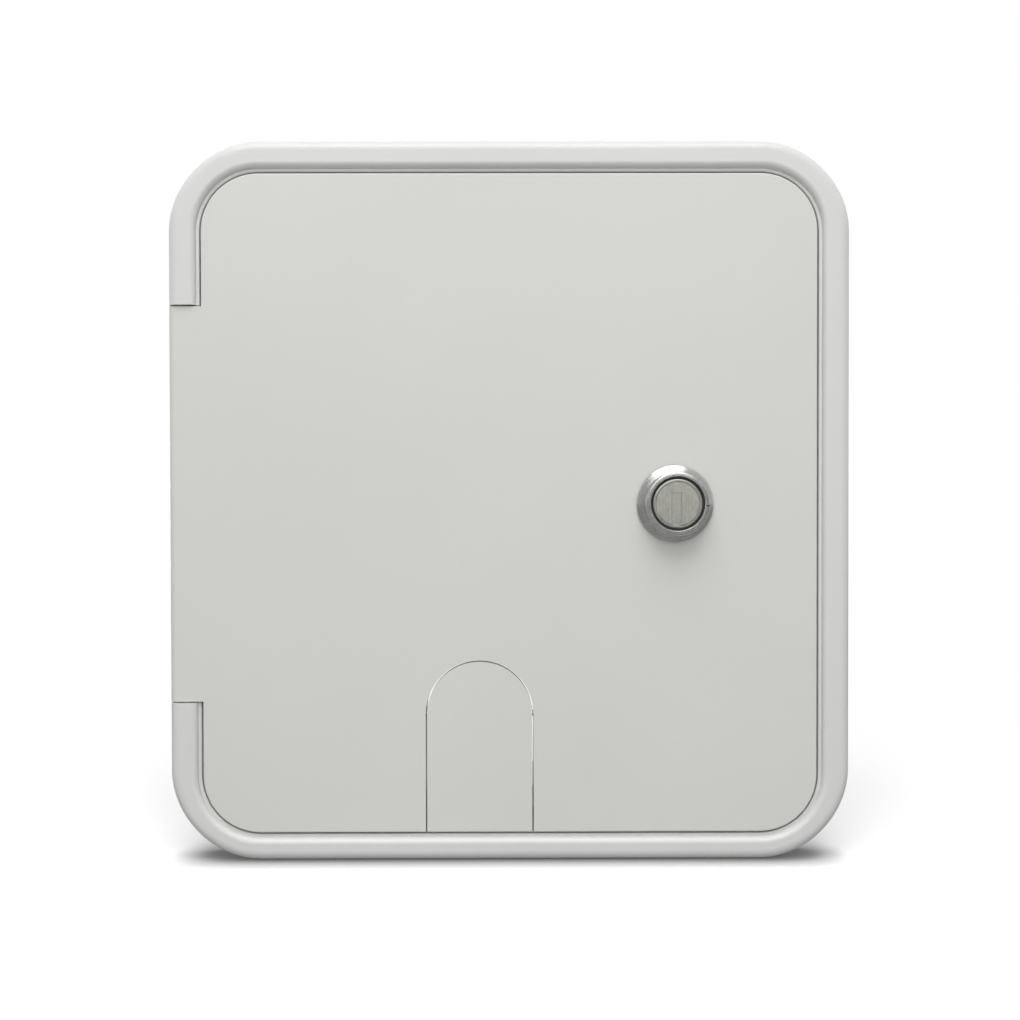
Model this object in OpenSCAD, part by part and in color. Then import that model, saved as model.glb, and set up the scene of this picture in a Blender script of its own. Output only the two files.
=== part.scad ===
// Power cord hatch for a caravan side wall.
// A moulded frame with a collar, a lockable door on a side hinge, and a cord flap in the door.
// Millimetres. X to the right, +Z up, the door faces -Y.
// The origin is the centre of the hatch on the wall plane, where the frame's back lies.

/* [Frame] */
// Outer width of the frame
frame_w = 196; // [190:1:216]
// Outer height of the frame
frame_h = 208.6; // [200:0.2:226]
// Outer corner radius of the frame
frame_r = 26; // [25.5:0.5:28]
// Width of the rim, from its outer edge to the door gap
rim_w = 8.9; // [8.7:0.1:9.2]
// Height of the rim above the wall plane
rim_h = 12; // [11.9:0.1:12.3]
// Radius of the rim's outer edge
rim_outer_r = 3; // [2.6:0.1:3.2]
// Radius of the rim's inner shoulder
rim_inner_r = 1.7; // [1.6:0.1:1.9]
// Width of the screw ledge between the rim and the collar
ledge_w = 9.6; // [9.2:0.1:10.2]
// Thickness of the screw ledge
ledge_t = 3; // [2.6:0.1:3.2]
// Depth of the collar behind the wall plane
collar_depth = 30; // [24:1:45]
// Thickness of the collar's wall
collar_t = 2; // [1.8:0.1:2.2]
// Radius of the screw holes
screw_r = 2.1; // [1.8:0.1:2.4]

/* [Door] */
// Height of the door's face above the wall plane
door_z = 11.2; // [11.1:0.1:11.3]
// Thickness of the door's panel
door_t = 2.5; // [2.3:0.1:2.6]
// Gap all round between the door and the rim
door_gap = 0.6; // [0.5:0.05:0.7]
// Height of the hinge tongue
tongue_h = 113.6; // [96:0.2:125]
// Radius of the hinge pins
pin_r = 1.25; // [1.1:0.05:1.3]

/* [Cord flap] */
// Width of the flap opening in the door
flap_w = 31.1; // [28:0.1:36]
// Height of the flap opening, from the door's lower edge to the top of its arch
flap_h = 49.7; // [44:0.1:56]
// Sideways place of the flap's middle
flap_x = -8.8; // [-20:0.1:4]
// Gap all round the flap
flap_gap = 0.4; // [0.35:0.05:0.5]

/* [Lock] */
// Sideways place of the lock
lock_x = 47.5; // [44:0.5:48]
// Radius of the lock's bezel
bezel_r = 11; // [10.8:0.1:12]
// Radius of the lock's plug
plug_r = 6.9; // [6.8:0.05:6.95]
// Reach of the cam from the lock's axis
cam_reach = 27.5; // [25:0.5:28]

/* [Hidden] */
$fn = 96;
eps = 0.01;

// Rim of the frame
rim_land = 0.9;
rim_edge_r = 0.4;
rim_wall_t = 2.2;
rim_core_top = 9.3;
gasket_t = 2;
crown_u = rim_w - rim_land - rim_inner_r;
land_z = rim_h - rim_inner_r;
lip_top = 7;
collar_u = rim_w + ledge_w;

// Inside of the collar
collar_in_w = frame_w - 2 * (collar_u + collar_t);
collar_in_h = frame_h - 2 * (collar_u + collar_t);

// Screws in the ledge: two rectangles of four
screw_u = rim_w + ledge_w / 2;
countersink_r = 3.8;
side_screw_y = 66;
end_screw_x = 55;

// Drain slots in the lower rim
drain_w = 8;
drain_h = 1.4;
drain_x = 60;

// Gap in the rain lip, a little wider than the flap
cord_notch_w = flap_w + 10;

// Hinge
pin_u = 3.7;
pin_drop = 2.8;
pin_x = -frame_w / 2 + pin_u;
pin_z = door_z - pin_drop;
pin_seat = 4;
knuckle_clear = 0.05;
tongue_gap = 0.4;
tongue_edge_r = 2;
tongue_floor = 4.1;
tongue_side_z = pin_z - 1;
tongue_wall_t = 1.8;
knuckle_r = pin_drop - 0.05;
hinge_block = 8;
knuckle_len = 28;
pin_len = knuckle_len - 2 + tongue_gap + pin_seat;
tongue_rib_t = 1.6;
tongue_ribs = 4;

// Door
door_w = frame_w - 2 * (rim_w + door_gap);
door_h = frame_h - 2 * (rim_w + door_gap);
door_r = frame_r - rim_w - door_gap;
door_back = door_z - door_t;
door_edge_r = 0.5;
skirt_t = 1.8;
skirt_end = 5.2;
seal_w = 4;
seal_gap = 0.2;
seal_r = frame_r - collar_u - collar_t / 2;
fence_t = 1;
fence_h = 1;

// Flap
flap_r = flap_w / 2;
door_foot = -door_h / 2;
flap_axis_y = door_foot + flap_h - flap_r;
flap_axis_z = door_back + 0.3;
flap_pin_r = 0.8;
flap_pin_len = flap_w + 7;
flap_knuckle_r = 2.1;
flap_wall_t = 1.6;
flap_stop_w = 1.2;
flap_stop_t = 1.4;
flap_stop_gap = 0.3;

// Lock, from the front to the back
bezel_gasket_t = 0.6;
barrel_r = 8.8;
barrel_flat = 8;
barrel_end = -4;
lock_boss_r = 14;
lock_boss_t = 1.5;
nut_washer_t = 0.8;
nut_t = 3.5;
nut_af = 22;
head_r = 7.7;
plug_fit = 0.05;
ring_h = 6.4;
head_z = 3;
plug_face = 6;
body_r = 6.4;
body_bore_r = body_r + plug_fit;
drive = 7;
cam_t = 2;
cam_front = barrel_end - 0.3;
cam_washer_t = 0.8;
screw_head_r = 4.4;
screw_head_t = 2.4;
keyway_w = 3.2;
keyway_h = 9;
keyway_x = -0.4;
keyway_y = -1.2;

// Keeper on the collar, which the cam turns behind
keeper_w = 24;
keeper_reach = 7;
keeper_t = 2.3;
keeper_gap = 0.5;

// Places a piece that is drawn face up: local x is X, local y is Z, local z points out of the wall
module on_wall() {
    rotate([90, 0, 0]) children();
}

// Rounded rectangle about the origin
module rounded(w, h, r) {
    square([w - 2 * r, h], center = true);
    square([w, h - 2 * r], center = true);
    for (x = [-1, 1], y = [-1, 1])
        translate([x * (w / 2 - r), y * (h / 2 - r)]) circle(r);
}

// Sweeps a section round a rounded rectangle. The section's x is measured from the corner's centre.
module sweep_round(w, h, r) {
    cx = w / 2 - r;
    cy = h / 2 - r;
    for (k = [0 : 3]) {
        away = k % 2 == 0 ? cx : cy;
        along = k % 2 == 0 ? cy : cx;
        rotate(90 * k) translate([away, along, 0]) {
            rotate([90, 0, 0]) linear_extrude(2 * along) children();
            rotate_extrude(angle = 90) children();
        }
    }
}

// Part of the frame's section, from u0 to u1 inwards of its outer edge and from z0 to z1
module strip(u0, u1, z0, z1) {
    translate([frame_r - u1, z0]) square([u1 - u0, z1 - z0]);
}

// Round corner of the frame's section
module bend(u, z, r) {
    translate([frame_r - u, z]) circle(r);
}

// The frame's whole section: rim, ledge, rain lip and collar
module frame_section() {
    strip(0, rim_w, 0, rim_h - rim_outer_r);
    bend(rim_outer_r, rim_h - rim_outer_r, rim_outer_r);
    strip(rim_outer_r, crown_u, ledge_t, rim_h);
    bend(crown_u, land_z, rim_inner_r);
    strip(rim_outer_r, rim_w - rim_edge_r, ledge_t, land_z);
    bend(rim_w - rim_edge_r, land_z - rim_edge_r, rim_edge_r);
    strip(rim_outer_r, rim_w, ledge_t, land_z - rim_edge_r);
    strip(rim_w - 1, collar_u + collar_t, 0, ledge_t);
    strip(collar_u, collar_u + collar_t, -collar_depth, lip_top - collar_t / 2);
    bend(collar_u + collar_t / 2, lip_top - collar_t / 2, collar_t / 2);
}

// Round bar along local y on the hinge's axis, from y0 to y1
module hinge_bar(r, y0, y1) {
    translate([pin_x, y1, pin_z]) rotate([90, 0, 0]) cylinder(r = r, h = y1 - y0);
}

// The stretch of the hinge's axis that a pin takes: side is 1 above and -1 below
module hinge_pin_bar(r, side) {
    far = side * (tongue_h / 2 + tongue_gap + pin_seat);
    near = far - side * pin_len;
    hinge_bar(r, min(far, near), max(far, near));
}

// Hollow on the back of the rim, which stops at the hinge
module rim_core() {
    difference() {
        sweep_round(frame_w, frame_h, frame_r)
            strip(rim_wall_t, rim_w - rim_wall_t, -1, rim_core_top);
        translate([-frame_w / 2 - 1, -tongue_h / 2 - hinge_block, -2])
            cube([rim_w + 2, tongue_h + 2 * hinge_block, rim_h + 2]);
    }
}

// Shallow groove for the gasket, all the way round the back
module gasket_groove(depth) {
    sweep_round(frame_w, frame_h, frame_r)
        strip(rim_wall_t, rim_w - rim_wall_t, 0, depth);
}

module screw_hole() {
    translate([0, 0, -1]) cylinder(r = screw_r, h = ledge_t + 2);
    translate([0, 0, ledge_t - (countersink_r - screw_r)])
        cylinder(r1 = screw_r, r2 = countersink_r, h = countersink_r - screw_r);
    translate([0, 0, ledge_t - eps]) cylinder(r = countersink_r, h = 1);
}

// Gap in the rain lip where the cord leaves the collar
module cord_notch() {
    translate([flap_x - cord_notch_w / 2, -collar_in_h / 2 - collar_t - 1, ledge_t])
        cube([cord_notch_w, collar_t + 2, lip_top]);
}

module screw_holes() {
    for (x = [-1, 1], y = [-1, 1]) {
        translate([x * (frame_w / 2 - screw_u), y * side_screw_y, 0]) screw_hole();
        translate([x * end_screw_x, y * (frame_h / 2 - screw_u), 0]) screw_hole();
    }
}

// Frame moulding: rim, ledge, rain lip, collar and the keeper for the cam
module outer_frame() {
    color("whitesmoke") on_wall() {
        difference() {
            sweep_round(frame_w, frame_h, frame_r) frame_section();
            rim_core();
            translate([0, 0, -1]) gasket_groove(gasket_t + 1);
            translate([-frame_w / 2 - 1, -tongue_h / 2 - tongue_gap, tongue_floor])
                cube([rim_w + 1 + eps, tongue_h + 2 * tongue_gap, rim_h]);
            for (side = [-1, 1]) hinge_pin_bar(pin_r, side);
            screw_holes();
            cord_notch();
            for (x = [-1, 1])
                translate([x * drain_x - drain_w / 2, -frame_h / 2 - 1, ledge_t])
                    cube([drain_w, rim_w + 2, drain_h]);
        }
        translate([collar_in_w / 2 - keeper_reach, -keeper_w / 2, cam_front + keeper_gap])
            cube([keeper_reach + collar_t / 2, keeper_w, keeper_t]);
    }
}

// Foam gasket in the groove, flush with the back of the frame
module wall_gasket() {
    color("dimgray") on_wall() gasket_groove(gasket_t);
}

module upper_hinge_pin() {
    color("silver") on_wall() hinge_pin_bar(pin_r, 1);
}

module lower_hinge_pin() {
    color("silver") on_wall() hinge_pin_bar(pin_r, -1);
}

// Outline of the flap or of its opening, made smaller by inset
module arch(inset) {
    r = flap_r - inset;
    translate([flap_x, flap_axis_y]) circle(r);
    translate([flap_x - r, door_foot]) square([2 * r, flap_axis_y - door_foot]);
}

module arch_opening() {
    arch(0);
    translate([flap_x - flap_r, door_foot - 1]) square([flap_w, 2]);
}

// Edge of the door: a skirt with a rounded front corner
module skirt_section() {
    translate([door_r - skirt_t, skirt_end])
        square([skirt_t, door_z - door_edge_r - skirt_end]);
    translate([door_r - skirt_t, skirt_end])
        square([skirt_t - door_edge_r, door_z - skirt_end]);
    translate([door_r - door_edge_r, door_z - door_edge_r]) circle(door_edge_r);
}

// Extrudes an upright section of the tongue along local y, from y0 to y1
module along_tongue(y0, y1) {
    translate([0, y1, 0]) rotate([90, 0, 0]) linear_extrude(y1 - y0) children();
}

// Tongue that reaches across the rim to the hinge, flush with the door's face
module tongue() {
    edge = -frame_w / 2 + tongue_edge_r;
    side_h = door_z - tongue_edge_r - tongue_side_z;
    along_tongue(-tongue_h / 2, tongue_h / 2) {
        translate([edge, door_back]) square([rim_w + 2, door_t]);
        translate([edge, door_z - tongue_edge_r]) circle(tongue_edge_r);
        translate([-frame_w / 2, tongue_side_z]) square([tongue_wall_t, side_h]);
    }
    for (y0 = [-tongue_h / 2, tongue_h / 2 - knuckle_len])
        along_tongue(y0, y0 + knuckle_len) {
            translate([pin_x, pin_z]) circle(knuckle_r);
            translate([-frame_w / 2, tongue_side_z]) square([pin_u, side_h]);
        }
    rib_span = tongue_h - 2 * knuckle_len;
    for (k = [1 : tongue_ribs]) {
        y0 = -rib_span / 2 + k * rib_span / (tongue_ribs + 1) - tongue_rib_t / 2;
        along_tongue(y0, y0 + tongue_rib_t)
            translate([-frame_w / 2, tongue_side_z]) square([2 * pin_u, door_z - 1 - tongue_side_z]);
    }
}

// Bar along local x at the flap's axis
module flap_bar(r, len) {
    translate([flap_x - len / 2, flap_axis_y, flap_axis_z])
        rotate([0, 90, 0]) cylinder(r = r, h = len);
}

// Wall round the flap opening, on the back of the door
module flap_wall() {
    translate([0, 0, skirt_end]) linear_extrude(door_back + eps - skirt_end) difference() {
        arch(-flap_wall_t);
        arch_opening();
    }
}

// Ledges behind the flap's sides, where it comes to rest
module flap_stops() {
    y0 = door_foot + skirt_t + 1;
    y1 = flap_axis_y - flap_knuckle_r - 4;
    top = door_back - flap_stop_gap;
    for (s = [-1, 1])
        translate([flap_x + s * (flap_r - flap_stop_w / 2 + 0.4), (y0 + y1) / 2, top - flap_stop_t / 2])
            cube([flap_stop_w + 0.8, y1 - y0, flap_stop_t], center = true);
}

// Bosses that hold the ends of the flap's pin
module flap_bosses() {
    for (s = [-1, 1])
        translate([flap_x + s * (flap_r + 2.2), flap_axis_y, (skirt_end + door_back) / 2 + 0.5])
            cube([4.4, 6, door_back - skirt_end + 1], center = true);
}

// Hole for the lock's barrel, with two flats
module barrel_outline(clear) {
    intersection() {
        circle(barrel_r + clear);
        square([2 * (barrel_flat + clear), 4 * barrel_r], center = true);
    }
}

// Low fences on each side of the door seal
module seal_fences() {
    sweep_round(frame_w - 2 * (collar_u + collar_t / 2), frame_h - 2 * (collar_u + collar_t / 2), seal_r)
        for (s = [-1, 1])
            translate([seal_r + s * (seal_w + fence_t) / 2 - fence_t / 2, door_back - fence_h])
                square([fence_t, fence_h + 0.5]);
}

// The door's plate and skirt, before anything is cut in it
module door_shell() {
    translate([0, 0, door_back]) linear_extrude(door_t)
        rounded(door_w - 2, door_h - 2, door_r - 1);
    sweep_round(door_w, door_h, door_r) skirt_section();
}

// Door moulding
module door_panel() {
    color("gainsboro") on_wall() difference() {
        union() {
            door_shell();
            seal_fences();
            tongue();
            flap_wall();
            flap_bosses();
            translate([lock_x, 0, door_back - lock_boss_t]) cylinder(r = lock_boss_r, h = lock_boss_t + 1);
        }
        difference() {
            translate([0, 0, skirt_end - 1]) linear_extrude(door_z + 1) arch_opening();
            flap_stops();
        }
        flap_bar(flap_pin_r, flap_pin_len);
        for (side = [-1, 1]) hinge_pin_bar(pin_r + knuckle_clear, side);
        translate([lock_x, 0, 0]) linear_extrude(door_z + 1) barrel_outline(0.1);
    }
}

// Soft seal on the back of the door, over the rain lip, open where the flap is
module door_seal() {
    color("dimgray") on_wall() difference() {
        sweep_round(frame_w - 2 * (collar_u + collar_t / 2), frame_h - 2 * (collar_u + collar_t / 2), seal_r)
            translate([seal_r - seal_w / 2, lip_top + seal_gap])
                square([seal_w, door_back - lip_top - seal_gap]);
        translate([flap_x - flap_r - flap_wall_t, door_foot, 0])
            cube([flap_w + 2 * flap_wall_t, 30, door_z]);
    }
}

// Flap that swings out at its lower edge to let the cord pass
module cord_flap() {
    color("gainsboro") on_wall() difference() {
        union() {
            intersection() {
                translate([0, 0, door_back]) linear_extrude(door_t) arch(flap_gap);
                door_shell();
            }
            flap_bar(flap_knuckle_r, flap_w - 2 * flap_gap);
        }
        flap_bar(flap_pin_r + knuckle_clear, flap_w + 2);
    }
}

module flap_pin() {
    color("silver") on_wall() flap_bar(flap_pin_r, flap_pin_len);
}

// Places a piece of the lock on its axis, with local z = 0 at the wall plane
module at_lock() {
    on_wall() translate([lock_x, 0, 0]) children();
}

// Section of the bezel: a round flange with a raised ring
module bezel_section() {
    base = door_z + bezel_gasket_t;
    ring_top = door_z + ring_h;
    flange_r = 1.6;
    ring_out = head_r + 1.45;
    ring_edge = 0.6;
    translate([body_bore_r, base]) square([bezel_r - body_bore_r, 0.5]);
    translate([body_bore_r, base]) square([bezel_r - flange_r - body_bore_r, 0.5 + flange_r]);
    intersection() {
        translate([bezel_r - flange_r, base + 0.5]) circle(flange_r);
        translate([body_bore_r, base]) square([bezel_r, 0.5 + flange_r]);
    }
    translate([body_bore_r, base]) square([ring_out - body_bore_r, ring_top - ring_edge - base]);
    translate([body_bore_r, base]) square([ring_out - ring_edge - body_bore_r, ring_top - base]);
    translate([ring_out - ring_edge, ring_top - ring_edge]) circle(ring_edge);
}

// Metal body of the lock: bezel in front, flatted barrel behind
module lock_housing() {
    pocket = door_z + head_z;
    color("silver") at_lock() difference() {
        union() {
            rotate_extrude() bezel_section();
            translate([0, 0, barrel_end]) linear_extrude(door_z + bezel_gasket_t + eps - barrel_end)
                barrel_outline(0);
        }
        translate([0, 0, barrel_end - 1]) cylinder(r = body_bore_r, h = pocket + 2 - barrel_end);
        translate([0, 0, pocket]) cylinder(r = head_r, h = ring_h);
    }
}

module lock_gasket() {
    color("black") at_lock() translate([0, 0, door_z]) difference() {
        cylinder(r = bezel_r - 0.6, h = bezel_gasket_t);
        translate([0, 0, -1]) cylinder(r = barrel_r + 0.1, h = 3);
    }
}

module nut_washer() {
    color("silver") at_lock() translate([0, 0, door_back - lock_boss_t - nut_washer_t]) difference() {
        cylinder(r = 12.4, h = nut_washer_t);
        translate([0, 0, -1]) cylinder(r = barrel_r + 0.2, h = 3);
    }
}

module lock_nut() {
    color("silver") at_lock() translate([0, 0, door_back - lock_boss_t - nut_washer_t - nut_t])
        difference() {
            cylinder(r = nut_af / 2 / cos(30), h = nut_t, $fn = 6);
            translate([0, 0, -1]) cylinder(r = barrel_r + 0.05, h = nut_t + 2);
        }
}

// Black ring between the bezel and the plug
module plug_ring() {
    h = ring_h - head_z - 0.5;
    color("black") at_lock() translate([0, 0, door_z + head_z]) difference() {
        cylinder(r = head_r, h = h);
        translate([0, 0, -1]) cylinder(r = plug_r + plug_fit, h = h + 2);
    }
}

// Turning plug with its keyway, and a square behind for the cam
module lock_plug() {
    face = door_z + plug_face;
    shoulder = door_z + head_z;
    color("lightgray") at_lock() difference() {
        union() {
            translate([0, 0, shoulder]) cylinder(r = plug_r, h = face - shoulder - 0.3);
            translate([0, 0, face - 0.3]) cylinder(r1 = plug_r, r2 = plug_r - 0.3, h = 0.3);
            translate([0, 0, cam_front]) cylinder(r = body_r, h = shoulder - cam_front);
            translate([-drive / 2, -drive / 2, cam_front - cam_t])
                cube([drive, drive, cam_t + 1]);
        }
        translate([keyway_x - keyway_w / 2, keyway_y - keyway_h / 2, door_z - 8])
            cube([keyway_w, keyway_h, 20]);
        translate([0, 0, cam_front - cam_t - 1]) cylinder(r = 1.6, h = 8);
    }
}

// Sprung shutter that closes the keyway
module key_shutter() {
    color("silver") at_lock()
        translate([keyway_x - keyway_w / 2 + 0.05, keyway_y - keyway_h / 2 + 0.05, door_z + plug_face - 1.3])
            cube([keyway_w - 0.1, keyway_h - 0.1, 1]);
}

// Cam arm, hanging down while the lock is open
module lock_cam() {
    hub_r = 8.5;
    arm_w = 13;
    color("silver") at_lock() translate([0, 0, cam_front - cam_t]) difference() {
        linear_extrude(cam_t) {
            circle(hub_r);
            translate([-arm_w / 2, -cam_reach + 2]) square([arm_w, cam_reach - 2]);
            translate([-arm_w / 2 + 2, -cam_reach]) square([arm_w - 4, 4]);
            for (s = [-1, 1])
                translate([s * (arm_w / 2 - 2), -cam_reach + 2]) circle(2);
        }
        translate([-drive / 2, -drive / 2, -1]) cube([drive, drive, cam_t + 2]);
    }
}

module cam_washer() {
    color("silver") at_lock() translate([0, 0, cam_front - cam_t - cam_washer_t]) difference() {
        cylinder(r = 5.4, h = cam_washer_t);
        translate([0, 0, -1]) cylinder(r = 1.7, h = 3);
    }
}

module cam_screw() {
    head = cam_front - cam_t - cam_washer_t - screw_head_t;
    color("silver") at_lock() difference() {
        union() {
            translate([0, 0, head]) cylinder(r = screw_head_r, h = screw_head_t);
            translate([0, 0, head]) cylinder(r = 1.6, h = screw_head_t + cam_washer_t + 6);
        }
        translate([0, 0, head - 1]) cylinder(r = 1.9, h = 2.4, $fn = 6);
    }
}

outer_frame();
wall_gasket();
upper_hinge_pin();
lower_hinge_pin();
door_panel();
door_seal();
cord_flap();
flap_pin();
lock_housing();
lock_gasket();
nut_washer();
lock_nut();
plug_ring();
lock_plug();
key_shutter();
lock_cam();
cam_washer();
cam_screw();
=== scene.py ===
# Looks of the power cord hatch: materials, small details, studio light and camera.
import math

import bmesh
import bpy
from mathutils import Matrix, Vector


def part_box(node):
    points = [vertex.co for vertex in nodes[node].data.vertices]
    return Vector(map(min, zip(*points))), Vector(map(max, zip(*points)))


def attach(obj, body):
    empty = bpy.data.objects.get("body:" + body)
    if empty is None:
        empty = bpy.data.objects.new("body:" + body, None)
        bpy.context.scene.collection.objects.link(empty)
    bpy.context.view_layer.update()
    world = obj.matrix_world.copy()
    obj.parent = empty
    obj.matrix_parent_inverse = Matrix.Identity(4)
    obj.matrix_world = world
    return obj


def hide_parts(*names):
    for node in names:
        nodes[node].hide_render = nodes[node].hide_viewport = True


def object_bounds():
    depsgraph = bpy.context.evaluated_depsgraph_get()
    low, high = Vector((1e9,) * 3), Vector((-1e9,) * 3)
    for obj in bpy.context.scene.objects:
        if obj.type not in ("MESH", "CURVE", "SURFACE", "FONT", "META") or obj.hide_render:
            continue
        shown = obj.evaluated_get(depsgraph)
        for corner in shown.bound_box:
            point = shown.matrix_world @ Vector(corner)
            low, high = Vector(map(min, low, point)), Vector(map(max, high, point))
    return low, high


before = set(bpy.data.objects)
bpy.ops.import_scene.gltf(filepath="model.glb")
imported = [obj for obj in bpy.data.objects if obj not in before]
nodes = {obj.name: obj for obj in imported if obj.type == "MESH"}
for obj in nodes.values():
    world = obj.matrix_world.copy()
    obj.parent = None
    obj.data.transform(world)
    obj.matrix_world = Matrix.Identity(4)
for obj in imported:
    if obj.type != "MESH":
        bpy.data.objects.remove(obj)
cad_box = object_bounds()

# Camera fitted to the photograph: metres, degrees, and a focal length in pixels of the square image
CAMERA_PLACE = Vector((-0.00089, -0.34307, 0.00279))
CAMERA_YAW = 0.164
CAMERA_PITCH = 0.789
CAMERA_ROLL = 0.105
FOCAL_PIXELS = 1154.2
IMAGE_PIXELS = 1020
SENSOR_MM = 36

# Stage
FLOOR_GAP = 0.0001
FLOOR_SIZE = 3.0
CONTACT_REACH = 0.012
FLOOR_BOUNCE = 0.35
FLOOR_GLOW = 0.3
FADE_START = 0.16
FADE_END = 0.3
AMBIENT = 0.35
ROOM_LEVEL = 0.2

# Outline of the frame, and what the photograph trims off it
HALF_WIDTH = cad_box[1].x
HALF_HEIGHT = cad_box[1].z
CORNER_RADIUS = 0.026
CROWN_START = 0.003
CROWN_END = 0.0063
LOWER_TRIM = 0.0014
CORNER_TRIM = 0.00027

# Plug of the lock
PLUG_RADIUS = 0.0069
PLUG_BODY = 0.0064
PLUG_LIP_TOP = 0.0063
PLUG_LIP_IN = 0.0060
PLUG_LIP_DROP = 0.00016
PLUG_DISH = 0.00022
PLUG_BACK = -0.0042
NOTCH_RADIUS = 0.0011
NOTCH_DROP = 0.0058
DASH_Z = -0.0006
DASH_HALF = 0.00018
DASH_STEPS = 24

# Housing of the lock
BORE = 0.00645
POCKET = 0.0142
RING_IN = 0.0077
RING_OUT = 0.00915
RING_EDGE = 0.0006
SHOULDER_STEPS = 6
CONE_TOP = 0.0128
CONE_FOOT = 0.0122
BEZEL_OUT = 0.011
BEZEL_BACK = 0.0118
BARREL = 0.0088
BARREL_FLAT = 0.008

# Round edge of the door's hinge tongue
TONGUE_EDGE = 0.002
DOOR_FACE = -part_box("cord_flap")[0].y

# Lamps: place, width, depth and power
KEY_LAMP = ((-0.08, -1.0, 1.73), 1.5, 1.3, 26)
FILL_LAMP = ((0.0, -1.1, 0.45), 0.9, 0.6, 3.4)

# The axis of the lock, where its rings and brushing turn
LOCK_LOW, LOCK_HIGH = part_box("lock_housing")
LOCK_X = (LOCK_LOW.x + LOCK_HIGH.x) / 2
LOCK_Z = (LOCK_LOW.z + LOCK_HIGH.z) / 2


class Shader:
    """A material's node tree, with short calls that add linked nodes."""

    def __init__(self, name):
        self.material = bpy.data.materials.new(name)
        self.material.use_nodes = True
        self.tree = self.material.node_tree
        self.surface = self.tree.nodes["Principled BSDF"]
        self.coordinates = self.add("TexCoord").outputs["Object"]

    def link(self, value, socket):
        if isinstance(value, bpy.types.NodeSocket):
            self.tree.links.new(value, socket)
        else:
            socket.default_value = value

    def add(self, kind, settings=None, inputs=None):
        node = self.tree.nodes.new("ShaderNode" + kind)
        for name, value in (settings or {}).items():
            setattr(node, name, value)
        for name, value in (inputs or {}).items():
            self.link(value, node.inputs[name])
        return node

    def set(self, **values):
        for name, value in values.items():
            self.link(value, self.surface.inputs[name.replace("_", " ")])

    def math(self, operation, a, b=0.0):
        node = self.add("Math", {"operation": operation}, {0: a, 1: b})
        return node.outputs[0]

    def stretch(self, scale):
        node = self.add("Mapping", None, {"Vector": self.coordinates, "Scale": scale})
        return node.outputs["Vector"]

    def noise(self, scale, detail=2.0, roughness=0.5, vector=None):
        place = self.coordinates if vector is None else vector
        inputs = {"Vector": place, "Scale": scale, "Detail": detail, "Roughness": roughness}
        return self.add("TexNoise", None, inputs).outputs["Fac"]

    def cells(self, scale):
        return self.add("TexVoronoi", None, {"Vector": self.coordinates, "Scale": scale}).outputs["Distance"]

    def span(self, value, low, high, to_low, to_high):
        inputs = {"Value": value, "From Min": low, "From Max": high, "To Min": to_low, "To Max": to_high}
        return self.add("MapRange", None, inputs).outputs["Result"]

    def blend(self, factor, a, b):
        node = self.add("Mix", {"data_type": "RGBA"}, {"Factor": factor})
        self.link(a, node.inputs[6])
        self.link(b, node.inputs[7])
        return node.outputs[2]

    def edges(self, radius):
        """1 on edges that turn within the radius, 0 on flat and gently curved places"""
        rounded = self.add("Bevel", {"samples": 6}, {"Radius": radius}).outputs["Normal"]
        straight = self.add("NewGeometry").outputs["Normal"]
        dot = self.add("VectorMath", {"operation": "DOT_PRODUCT"}, {0: rounded, 1: straight})
        return self.span(dot.outputs["Value"], 0.999, 0.9, 0.0, 1.0)

    def crevices(self, distance):
        """1 in the open, towards 0 where a gap or an inside corner is near"""
        node = self.add("AmbientOcclusion", {"samples": 8}, {"Distance": distance})
        return node.outputs["AO"]

    def bump(self, height, strength, distance, below=None):
        inputs = {"Height": height, "Strength": strength, "Distance": distance}
        if below is not None:
            inputs["Normal"] = below
        return self.add("Bump", None, inputs).outputs["Normal"]


def grey(level, warmth=0.0):
    """A near-neutral colour: warmth above 0 takes a little blue away"""
    return (level, level, level * (1 - warmth), 1)


def moulded_plastic(name, level, warmth, roughness, grain_scale, grain_height):
    """Satin injection-moulded plastic: fine spark grain, faint flow shades, polish on the edges, painted shade in
    gaps and inside corners
    """
    shader = Shader(name)
    flow = shader.noise(14, 3)
    specks = shader.noise(900, 2)
    shade = shader.span(flow, 0.3, 0.7, 0.985, 1.015)
    base = shader.blend(shader.span(specks, 0.35, 0.65, 0.0, 0.12), grey(level, warmth), grey(level * 0.94, warmth))
    tinted = shader.add("Mix", {"data_type": "RGBA", "blend_type": "MULTIPLY"}, {"Factor": 1.0})
    shader.link(base, tinted.inputs[6])
    shader.link(shade, tinted.inputs[7])
    # Painted shade: ambient occlusion darkens the colour towards a deeper grey in gaps and inside corners
    dust_and_crevice_shade = shader.span(shader.crevices(0.0025), 0.0, 0.8, 0.15, 0.0)
    colour = shader.blend(dust_and_crevice_shade, tinted.outputs[2], grey(level * 0.72, warmth * 1.6))
    worn = shader.edges(0.0005)
    wear = shader.math("MULTIPLY", worn, shader.span(shader.noise(160, 4), 0.45, 0.65, 0.0, 1.0))
    gloss = shader.span(shader.noise(45, 4), 0.3, 0.7, roughness - 0.04, roughness + 0.05)
    polished = shader.math("SUBTRACT", gloss, shader.math("MULTIPLY", wear, 0.08))
    grain = shader.noise(grain_scale, 3, 0.6)
    waves = shader.noise(22, 1)
    normal = shader.bump(waves, 0.12, 0.0006)
    normal = shader.bump(grain, 0.35, grain_height, normal)
    shader.set(Base_Color=colour, Roughness=polished, Normal=normal)
    shader.surface.inputs["IOR"].default_value = 1.5
    shader.surface.inputs["Specular IOR Level"].default_value = 0.45
    return shader.material


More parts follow.
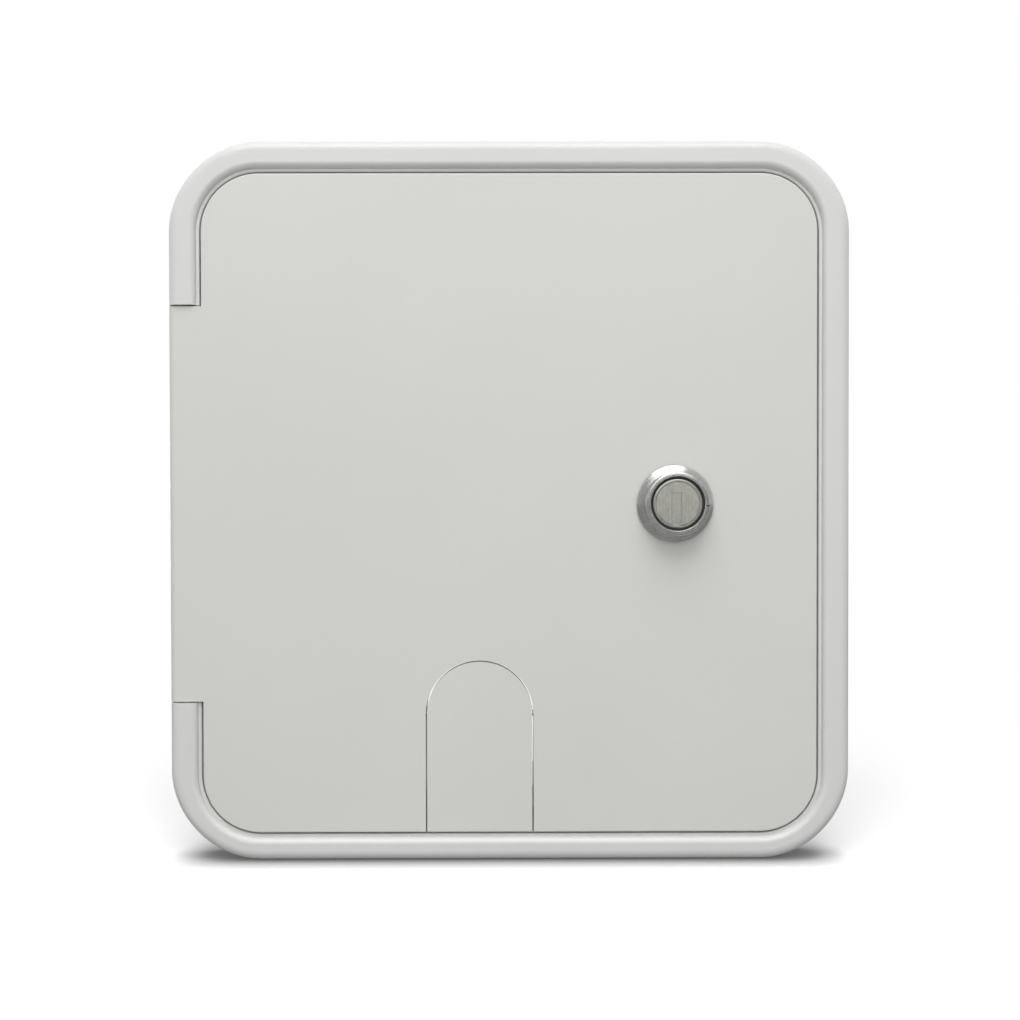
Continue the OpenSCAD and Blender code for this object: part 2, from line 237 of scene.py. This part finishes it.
def foam(name):
    """Closed-cell foam: pores darkened with painted shade, and a dull, slightly mottled skin"""
    shader = Shader(name)
    pores = shader.cells(1400)
    mottled = shader.noise(120, 4)
    colour = shader.blend(shader.span(mottled, 0.3, 0.7, 0.0, 1.0), grey(0.035), grey(0.075))
    # Painted shade: the pore centres, where the bump sinks, are darkened towards black
    pores_shaded = shader.blend(shader.span(pores, 0.0, 0.35, 1.0, 0.0), colour, grey(0.015))
    normal = shader.bump(pores, 0.6, 0.0003)
    rough = shader.span(mottled, 0.3, 0.7, 0.82, 0.95)
    shader.set(Base_Color=pores_shaded, Roughness=rough, Normal=normal)
    return shader.material


def rubber(name, level):
    """Dull rubber with fine grain and paler dusty flecks"""
    shader = Shader(name)
    dust_and_crevice_shade = shader.span(shader.noise(260, 5), 0.5, 0.8, 0.0, 0.5)
    colour = shader.blend(dust_and_crevice_shade, grey(level), grey(level + 0.05))
    rough = shader.span(shader.noise(90, 3), 0.3, 0.7, 0.55, 0.75)
    normal = shader.bump(shader.noise(2600, 3), 0.4, 0.00008)
    shader.set(Base_Color=colour, Roughness=rough, Normal=normal)
    return shader.material


def drawn_steel(name):
    """Bright drawn rod: fine lines along its length and a few dull marks"""
    shader = Shader(name)
    lines = shader.noise(1, 2, 0.6, shader.stretch((6000, 6000, 60)))
    marks = shader.noise(380, 5)
    colour = shader.blend(shader.span(marks, 0.5, 0.75, 0.0, 1.0), grey(0.62, 0.02), grey(0.42, 0.06))
    rough = shader.span(lines, 0.3, 0.7, 0.22, 0.38)
    normal = shader.bump(lines, 0.25, 0.00004)
    shader.set(Base_Color=colour, Roughness=rough, Normal=normal)
    shader.surface.inputs["Metallic"].default_value = 1.0
    return shader.material


def zinc_plate(name):
    """Zinc plating on pressed steel: cloudy crystals and brighter edges"""
    shader = Shader(name)
    crystals = shader.cells(900)
    clouds = shader.noise(300, 5)
    cloudy = shader.blend(shader.span(clouds, 0.3, 0.7, 0.0, 1.0), grey(0.5, 0.02), grey(0.66, 0.01))
    # Painted highlight: the edges are brightened towards a pale grey
    colour = shader.blend(shader.edges(0.0003), cloudy, grey(0.78))
    rough = shader.math("ADD", shader.span(clouds, 0.3, 0.7, 0.3, 0.46), shader.span(crystals, 0.0, 0.5, 0.0, 0.06))
    normal = shader.bump(crystals, 0.3, 0.00006)
    shader.set(Base_Color=colour, Roughness=rough, Normal=normal)
    shader.surface.inputs["Metallic"].default_value = 1.0
    return shader.material


def turned_rings(shader, scale):
    """Fine rings round the lock's axis, as a lathe or a brush leaves them"""
    parts = shader.add("SeparateXYZ", None, {0: shader.coordinates}).outputs
    across = shader.math("SUBTRACT", parts["X"], LOCK_X)
    up = shader.math("SUBTRACT", parts["Z"], LOCK_Z)
    radius = shader.math("SQRT", shader.math("ADD", shader.math("MULTIPLY", across, across),
                                             shader.math("MULTIPLY", up, up)))
    angle = shader.math("ARCTAN2", up, across)
    place = shader.add("CombineXYZ", None, {0: radius, 1: shader.math("MULTIPLY", angle, 0.0006), 2: parts["Y"]})
    return shader.noise(scale, 3, 0.6, place.outputs[0])


def satin_chrome(name):
    """Satin chrome on the bezel: turned rings, soft blotches, edges brightened as a painted highlight"""
    shader = Shader(name)
    rings = turned_rings(shader, 7000)
    blotches = shader.noise(420, 4)
    tone = shader.blend(shader.span(blotches, 0.3, 0.7, 0.0, 1.0), grey(0.48, 0.04), grey(0.58, 0.03))
    # Painted highlight: the edges are brightened towards a pale grey
    colour = shader.blend(shader.edges(0.0002), tone, grey(0.76))
    rough = shader.span(rings, 0.25, 0.75, 0.16, 0.34)
    normal = shader.bump(rings, 0.3, 0.00003)
    shader.set(Base_Color=colour, Roughness=rough, Normal=normal)
    shader.surface.inputs["Metallic"].default_value = 1.0
    return shader.material


def brushed_plug(name):
    """Brushed plug: arcs and scratches from keys on a warm grey metal, painted shade in the keyway and gaps, and
    edges brightened as a painted highlight
    """
    shader = Shader(name)
    rings = turned_rings(shader, 5200)
    scratches = shader.noise(1, 4, 0.7, shader.stretch((2600, 2600, 300)))
    mixed = shader.math("ADD", shader.math("MULTIPLY", rings, 0.5), shader.math("MULTIPLY", scratches, 0.5))
    tone = shader.blend(shader.span(mixed, 0.35, 0.65, 0.0, 1.0), grey(0.42, 0.11), grey(0.62, 0.09))
    # Painted shade: ambient occlusion darkens the keyway, the notch and the gap round the plug towards near black
    plug_crevice_shade = shader.span(shader.crevices(0.0012), 0.3, 0.95, 0.7, 0.0)
    crevice_shaded_tone = shader.blend(plug_crevice_shade, tone, grey(0.1, 0.1))
    # Painted highlight: the edges, such as the plug's lip, are brightened towards a pale grey
    colour = shader.blend(shader.edges(0.0002), crevice_shaded_tone, grey(0.76))
    rough = shader.span(mixed, 0.3, 0.7, 0.28, 0.46)
    normal = shader.bump(mixed, 0.4, 0.00004)
    shader.set(Base_Color=colour, Roughness=rough, Normal=normal)
    shader.surface.inputs["Metallic"].default_value = 1.0
    return shader.material


MATERIALS = {
    "frame_plastic": moulded_plastic("frame_moulding", 0.76, 0.02, 0.34, 2200, 0.00002),
    "door_plastic": moulded_plastic("door_moulding", 0.74, 0.045, 0.42, 2600, 0.00003),
    "foam": foam("foam_strip"),
    "seal_rubber": rubber("seal_rubber_skin", 0.02),
    "black_rubber": rubber("black_rubber_skin", 0.012),
    "steel": drawn_steel("drawn_steel_rod"),
    "zinc": zinc_plate("zinc_plate"),
    "bezel_metal": satin_chrome("satin_chrome"),
    "plug_metal": brushed_plug("brushed_plug_metal"),
}


def dress_nodes():
    """Each CAD node's slots take the finish that the record names"""
    for node in nodes.values():
        for slot in node.material_slots:
            slot.material = MATERIALS[slot.material.name]


def place(name, mesh, body, slot, replaced=None):
    """Puts a new piece on its body with the finish of a slot"""
    piece = bpy.data.objects.new(name, mesh)
    bpy.context.scene.collection.objects.link(piece)
    if not mesh.materials:
        mesh.materials.append(MATERIALS[slot])
    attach(piece, body)
    if replaced:
        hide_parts(replaced)
    return piece


def outline_distance(x, z):
    """Distance inwards from the frame's outline and the angle round the nearest corner, or None on a side"""
    across = abs(x) - (HALF_WIDTH - CORNER_RADIUS)
    up = abs(z) - (HALF_HEIGHT - CORNER_RADIUS)
    if across > 0 and up > 0:
        return CORNER_RADIUS - math.hypot(across, up), math.atan2(up, across)
    return CORNER_RADIUS - max(across, up), None


def trim_rim(point):
    """Moves a point of the rim to the photograph's outline: a narrower lower rim and slightly fuller corners"""
    inset, angle = outline_distance(point.x, point.z)
    weight = min(1.0, max(0.0, (CROWN_END - inset) / (CROWN_END - CROWN_START)))
    if angle is not None:
        pull = CORNER_TRIM * weight * math.sin(2 * angle) ** 2
        point.x -= math.copysign(pull * math.cos(angle), point.x)
        point.z -= math.copysign(pull * math.sin(angle), point.z)
    if point.z < CORNER_RADIUS - HALF_HEIGHT:
        point.z += LOWER_TRIM * weight


def trimmed(node, name, slot):
    """A copy of a node of the frame with the trimmed rim"""
    mesh = nodes[node].data.copy()
    for vertex in mesh.vertices:
        trim_rim(vertex.co)
    place(name, mesh, "frame", slot, node)


def turned(profile, ring=False, steps=128):
    """A solid turned about the lock's axis, from radius and height over the wall: axis to axis, or a closed ring"""
    made = bmesh.new()
    rings = []
    for radius, height in profile:
        count = 1 if radius == 0 else steps
        circle = []
        for k in range(count):
            angle = 2 * math.pi * k / steps
            spot = (LOCK_X + radius * math.cos(angle), -height, LOCK_Z + radius * math.sin(angle))
            circle.append(made.verts.new(spot))
        rings.append(circle)
    pairs = list(zip(rings, rings[1:]))
    if ring:
        pairs.append((rings[-1], rings[0]))
    for a, b in pairs:
        for k in range(steps):
            quad = [a[k % len(a)], a[(k + 1) % len(a)], b[(k + 1) % len(b)], b[k % len(b)]]
            made.faces.new(list(dict.fromkeys(quad)))
    bmesh.ops.recalc_face_normals(made, faces=made.faces)
    return made


def to_mesh(made, name):
    mesh = bpy.data.meshes.new(name)
    made.to_mesh(mesh)
    made.free()
    return mesh


def capsule(x0, x1, z, half, front, back):
    """A prism with round ends along X, from x0 to x1 at height z, between two heights over the wall"""
    made = bmesh.new()
    ends = []
    for k in range(DASH_STEPS):
        angle = 2 * math.pi * (k + 0.5) / DASH_STEPS
        middle = x1 - half if math.cos(angle) > 0 else x0 + half
        ends.append((middle + half * math.cos(angle), z + half * math.sin(angle)))
    top = [made.verts.new((x, -front, h)) for x, h in ends]
    foot = [made.verts.new((x, -back, h)) for x, h in ends]
    made.faces.new(top)
    made.faces.new(foot[::-1])
    for k in range(DASH_STEPS):
        n = (k + 1) % DASH_STEPS
        made.faces.new((top[k], foot[k], foot[n], top[n]))
    bmesh.ops.recalc_face_normals(made, faces=made.faces)
    return made


def subtract(mesh, tools):
    """Cuts the tools' meshes out of a mesh and returns the result with crisp edges"""
    body = bpy.data.objects.new("cut_body", mesh)
    bpy.context.scene.collection.objects.link(body)
    cutters = []
    for k, tool in enumerate(tools):
        cutter = bpy.data.objects.new(f"cutter_{k}", tool)
        bpy.context.scene.collection.objects.link(cutter)
        modifier = body.modifiers.new(f"cut_{k}", "BOOLEAN")
        modifier.operation = "DIFFERENCE"
        modifier.solver = "EXACT"
        modifier.object = cutter
        cutters.append(cutter)
    graph = bpy.context.evaluated_depsgraph_get()
    result = bpy.data.meshes.new_from_object(body.evaluated_get(graph))
    for spare in (body, *cutters):
        bpy.data.objects.remove(spare)
    result.materials.clear()
    for polygon in result.polygons:
        polygon.use_smooth = True
    result.set_sharp_from_angle(angle=math.radians(30))
    return result


def block(low, high):
    """A plain cutter between two corners"""
    made = bmesh.new()
    corners = [(x, y, z) for x in (low[0], high[0]) for y in (low[1], high[1]) for z in (low[2], high[2])]
    verts = [made.verts.new(c) for c in corners]
    for side in ((0, 1, 3, 2), (4, 6, 7, 5), (0, 4, 5, 1), (2, 3, 7, 6), (0, 2, 6, 4), (1, 5, 7, 3)):
        made.faces.new([verts[k] for k in side])
    bmesh.ops.recalc_face_normals(made, faces=made.faces)
    return made


def make_housing():
    """Bezel with a shallow cone, a raised ring with a round shoulder, and the flatted barrel behind"""
    top = -LOCK_LOW.y
    back = -LOCK_HIGH.y
    shoulder = [
        (RING_OUT - RING_EDGE + RING_EDGE * math.cos(t), top - RING_EDGE + RING_EDGE * math.sin(t))
        for t in (math.pi / 2 * (1 - k / SHOULDER_STEPS) for k in range(SHOULDER_STEPS + 1))
    ]
    body = turned([
        (BORE, back), (BORE, POCKET), (RING_IN, POCKET), (RING_IN, top - 0.00015), (RING_IN + 0.00015, top),
        *shoulder, (RING_OUT, CONE_TOP), (BEZEL_OUT - 0.0002, CONE_FOOT), (BEZEL_OUT, CONE_FOOT - 0.0002),
        (BEZEL_OUT, BEZEL_BACK), (BARREL, BEZEL_BACK), (BARREL, back),
    ], ring=True)
    flats = []
    for side in (-1, 1):
        near = LOCK_X + side * BARREL_FLAT
        far = LOCK_X + side * 2 * BARREL
        spare = 0.001
        flats.append(block((min(near, far), -BEZEL_BACK, LOCK_Z - 2 * BARREL),
                           (max(near, far), LOCK_HIGH.y + spare, LOCK_Z + 2 * BARREL)))
    cutters = [to_mesh(flat, f"barrel_flat_{k}") for k, flat in enumerate(flats)]
    place("lock_bezel", subtract(to_mesh(body, "bezel_body"), cutters), "door", "bezel_metal", "lock_housing")


def make_plug():
    """Face of the plug: a bright sloped lip, a turned dish, the keyway and the notch at its foot"""
    face = -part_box("lock_plug")[0].y
    floor = face - PLUG_DISH
    body = turned([
        (0, floor), (PLUG_LIP_IN, floor), (PLUG_LIP_IN + 0.00015, face), (PLUG_LIP_TOP, face),
        (PLUG_RADIUS, face - PLUG_LIP_DROP), (PLUG_RADIUS, POCKET), (PLUG_BODY, POCKET),
        (PLUG_BODY, PLUG_BACK), (0, PLUG_BACK),
    ])
    low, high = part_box("key_shutter")
    spare = 0.00005
    slot = block((low.x - spare, low.y - 0.002, low.z - spare), (high.x + spare, high.y + 0.002, high.z + spare))
    middle = (low.x + high.x) / 2
    notch = capsule(middle - NOTCH_RADIUS, middle + NOTCH_RADIUS, LOCK_Z - NOTCH_DROP, NOTCH_RADIUS,
                    face + 0.001, face - 0.0009)
    cut = subtract(to_mesh(body, "plug_body"), [to_mesh(slot, "plug_slot"), to_mesh(notch, "plug_notch")])
    place("plug_face", cut, "lock", "plug_metal")
    dash = capsule(LOCK_X + 0.0046, LOCK_X + 0.0056, LOCK_Z + DASH_Z, DASH_HALF, floor + 0.00003, floor - 0.0002)
    place("plug_dash", to_mesh(dash, "plug_dash"), "lock", "black_rubber")


def make_ring_dash():
    """Index dash on the raised ring, beside the plug's own"""
    top = -LOCK_LOW.y
    dash = capsule(LOCK_X + 0.00795, LOCK_X + 0.0090, LOCK_Z + DASH_Z, DASH_HALF, top, top - 0.0002)
    place("ring_dash", to_mesh(dash, "ring_dash"), "door", "black_rubber")


def smooth_tongue():
    """The door with its rib corners drawn in to the tongue's round edge"""
    mesh = nodes["door_panel"].data.copy()
    foot = -cad_box[0].x - TONGUE_EDGE
    start = DOOR_FACE - TONGUE_EDGE
    for vertex in mesh.vertices:
        over = -vertex.co.y - start
        if vertex.co.x < -foot and over > 0:
            round_x = -foot - math.sqrt(max(0.0, TONGUE_EDGE ** 2 - over ** 2))
            vertex.co.x = max(vertex.co.x, round_x)
    place("door_moulding", mesh, "door", "door_plastic", "door_panel")


def make_floor():
    """White floor just under the hatch, with a painted contact shadow along the hatch's foot and plain white
    further out
    """
    shader = Shader("floor_white")
    # Painted shadow: ambient occlusion within CONTACT_REACH darkens the floor's colour and its camera glow where
    # the hatch stands near
    open_sky = shader.add("AmbientOcclusion", {"samples": 12}, {"Distance": CONTACT_REACH}).outputs["AO"]
    contact_shadow = shader.span(open_sky, 0.5, 0.97, 0.28, 1.0)
    seen = shader.add("LightPath").outputs["Is Camera Ray"]
    lit = shader.blend(contact_shadow, grey(0), grey(0.9))
    shader.set(Base_Color=shader.blend(seen, grey(FLOOR_BOUNCE), lit), Roughness=0.9)
    shader.surface.inputs["Specular IOR Level"].default_value = 0.0
    output = shader.tree.nodes["Material Output"].inputs["Surface"]
    distance = shader.add("VectorMath", {"operation": "LENGTH"}, {0: shader.coordinates}).outputs["Value"]
    away = shader.span(distance, FADE_START, FADE_END, 0.0, 1.0)
    glow_level = shader.math("MULTIPLY", shader.math("MULTIPLY", contact_shadow, FLOOR_GLOW), seen)
    glow = shader.add("Emission", None, {"Color": grey(1.0), "Strength": glow_level})
    near = shader.add("AddShader", None, {0: shader.surface.outputs[0], 1: glow.outputs[0]})
    white = shader.add("Emission", None, {"Color": grey(1.0), "Strength": 1.0})
    mixed = shader.add("MixShader", None, {0: shader.math("MULTIPLY", away, seen)})
    shader.link(near.outputs[0], mixed.inputs[1])
    shader.link(white.outputs[0], mixed.inputs[2])
    shader.link(mixed.outputs[0], output)
    height = cad_box[0].z + LOWER_TRIM - FLOOR_GAP
    half = FLOOR_SIZE / 2
    mesh = bpy.data.meshes.new("floor")
    corners = [(-half, -half, 0), (half, -half, 0), (half, half, 0), (-half, half, 0)]
    mesh.from_pydata(corners, [], [(0, 1, 2, 3)])
    mesh.materials.append(shader.material)
    floor = bpy.data.objects.new("floor", mesh)
    floor.location.z = height
    bpy.context.scene.collection.objects.link(floor)


def make_world():
    """White behind the hatch, a greyer room behind the camera in reflections, and soft even light"""
    world = bpy.data.worlds.new("studio")
    world.use_nodes = True
    tree = world.node_tree
    new = tree.nodes.new
    even = tree.nodes["Background"]
    even.inputs["Color"].default_value = grey(1.0)
    even.inputs["Strength"].default_value = AMBIENT
    reflected = new("ShaderNodeBackground")
    white = new("ShaderNodeBackground")
    white.inputs["Color"].default_value = grey(1.0)
    parts = new("ShaderNodeSeparateXYZ")
    tree.links.new(new("ShaderNodeTexCoord").outputs["Generated"], parts.inputs[0])
    shade = new("ShaderNodeMapRange")
    tree.links.new(parts.outputs["Y"], shade.inputs["Value"])
    for name, value in (("From Min", -1.0), ("From Max", 0.0), ("To Min", ROOM_LEVEL), ("To Max", 1.0)):
        shade.inputs[name].default_value = value
    tree.links.new(shade.outputs["Result"], reflected.inputs["Color"])
    rays = new("ShaderNodeLightPath").outputs
    mirror = new("ShaderNodeMath")
    mirror.operation = "MAXIMUM"
    tree.links.new(rays["Is Glossy Ray"], mirror.inputs[0])
    tree.links.new(rays["Is Transmission Ray"], mirror.inputs[1])
    first = new("ShaderNodeMixShader")
    tree.links.new(mirror.outputs[0], first.inputs[0])
    tree.links.new(even.outputs[0], first.inputs[1])
    tree.links.new(reflected.outputs[0], first.inputs[2])
    second = new("ShaderNodeMixShader")
    tree.links.new(rays["Is Camera Ray"], second.inputs[0])
    tree.links.new(first.outputs[0], second.inputs[1])
    tree.links.new(white.outputs[0], second.inputs[2])
    tree.links.new(second.outputs[0], tree.nodes["World Output"].inputs["Surface"])
    bpy.context.scene.world = world


def soft_lamp(name, spot, width, depth, watts):
    """A rectangular soft lamp that faces the hatch"""
    lamp = bpy.data.lights.new(name, "AREA")
    lamp.shape = "RECTANGLE"
    lamp.size = width
    lamp.size_y = depth
    lamp.energy = watts
    obj = bpy.data.objects.new(name, lamp)
    obj.location = spot
    obj.rotation_mode = "QUATERNION"
    obj.rotation_quaternion = (-Vector(spot)).to_track_quat("-Z", "Y")
    bpy.context.scene.collection.objects.link(obj)


def make_camera():
    yaw, pitch, roll = (math.radians(a) for a in (CAMERA_YAW, CAMERA_PITCH, CAMERA_ROLL))
    forward = Vector((math.sin(yaw) * math.cos(pitch), math.cos(yaw) * math.cos(pitch), -math.sin(pitch)))
    level = Vector((math.cos(yaw), -math.sin(yaw), 0))
    down = forward.cross(level)
    right = math.cos(roll) * level + math.sin(roll) * down
    up = math.sin(roll) * level - math.cos(roll) * down
    data = bpy.data.cameras.new("camera")
    data.sensor_width = SENSOR_MM
    data.sensor_fit = "HORIZONTAL"
    data.lens = FOCAL_PIXELS / IMAGE_PIXELS * SENSOR_MM
    data.clip_start = 0.01
    camera = bpy.data.objects.new("camera", data)
    turn = Matrix((right, up, -forward)).transposed().to_4x4()
    camera.matrix_world = Matrix.Translation(CAMERA_PLACE) @ turn
    bpy.context.scene.collection.objects.link(camera)
    bpy.context.scene.camera = camera


make_camera()
dress_nodes()
trimmed("outer_frame", "frame_moulding", "frame_plastic")
trimmed("wall_gasket", "foam_strip", "foam")
smooth_tongue()
make_housing()
make_plug()
make_ring_dash()
make_floor()
make_world()
soft_lamp("key_lamp", *KEY_LAMP)
soft_lamp("fill_lamp", *FILL_LAMP)
bpy.context.scene.view_settings.view_transform = "Standard"
